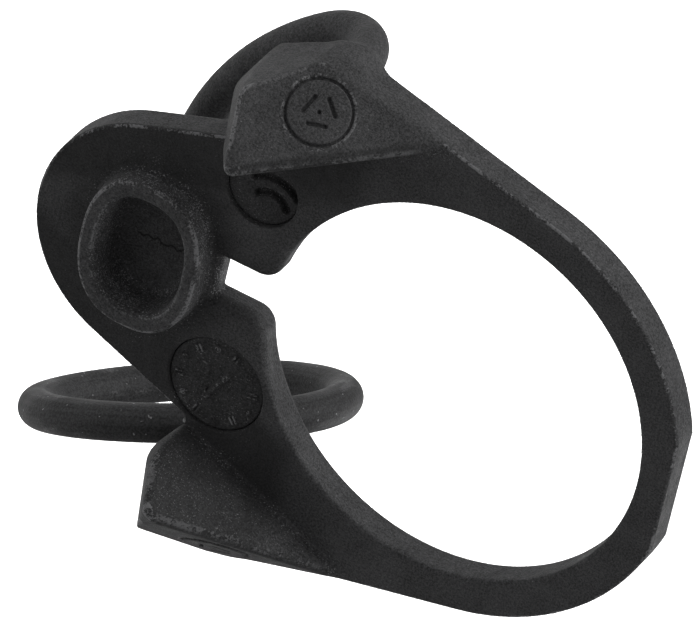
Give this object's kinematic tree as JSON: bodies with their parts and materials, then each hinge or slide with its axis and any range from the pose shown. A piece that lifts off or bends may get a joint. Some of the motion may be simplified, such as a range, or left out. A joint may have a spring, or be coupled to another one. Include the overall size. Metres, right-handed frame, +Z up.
{
  "type": "sling mount end plate",
  "caption": "Cast steel end plate for a 30 mm threaded tube, with an index boss, two side wings, a rear bail and a loose swinging sling ring.",
  "frame": {"origin": "centre of the tube hole on the plate's front face, the face that the boss and the wings stand out of", "axes": "+Z up, from the boss to the flat on top of the band; +Y along the tube, from the front face to the bail behind; +X across, towards the wing that carries the ring"},
  "size_m": [0.0512, 0.0337, 0.0528],
  "materials": {
    "black_phosphate": "matte black phosphate over a blasted casting",
    "black_ring": "satin black, lightly scuffed"
  },
  "bodies": {
    "end_plate": {"tube_band": "black_phosphate", "yoke_plate": "black_phosphate", "index_boss": "black_phosphate", "wing_right": "black_phosphate", "wing_left": "black_phosphate", "bail": "black_phosphate"},
    "ring": {"sling_ring": "black_ring"}
  },
  "joints": [
    {"name": "ring_swing", "type": "hinge", "parent": "end_plate", "child": "ring", "pos_m": [0.01752, 0.00889, -0.01861], "axis": [0.6268, -0.0696, 0.7761], "range_deg": [-10, 100]}
  ]
}
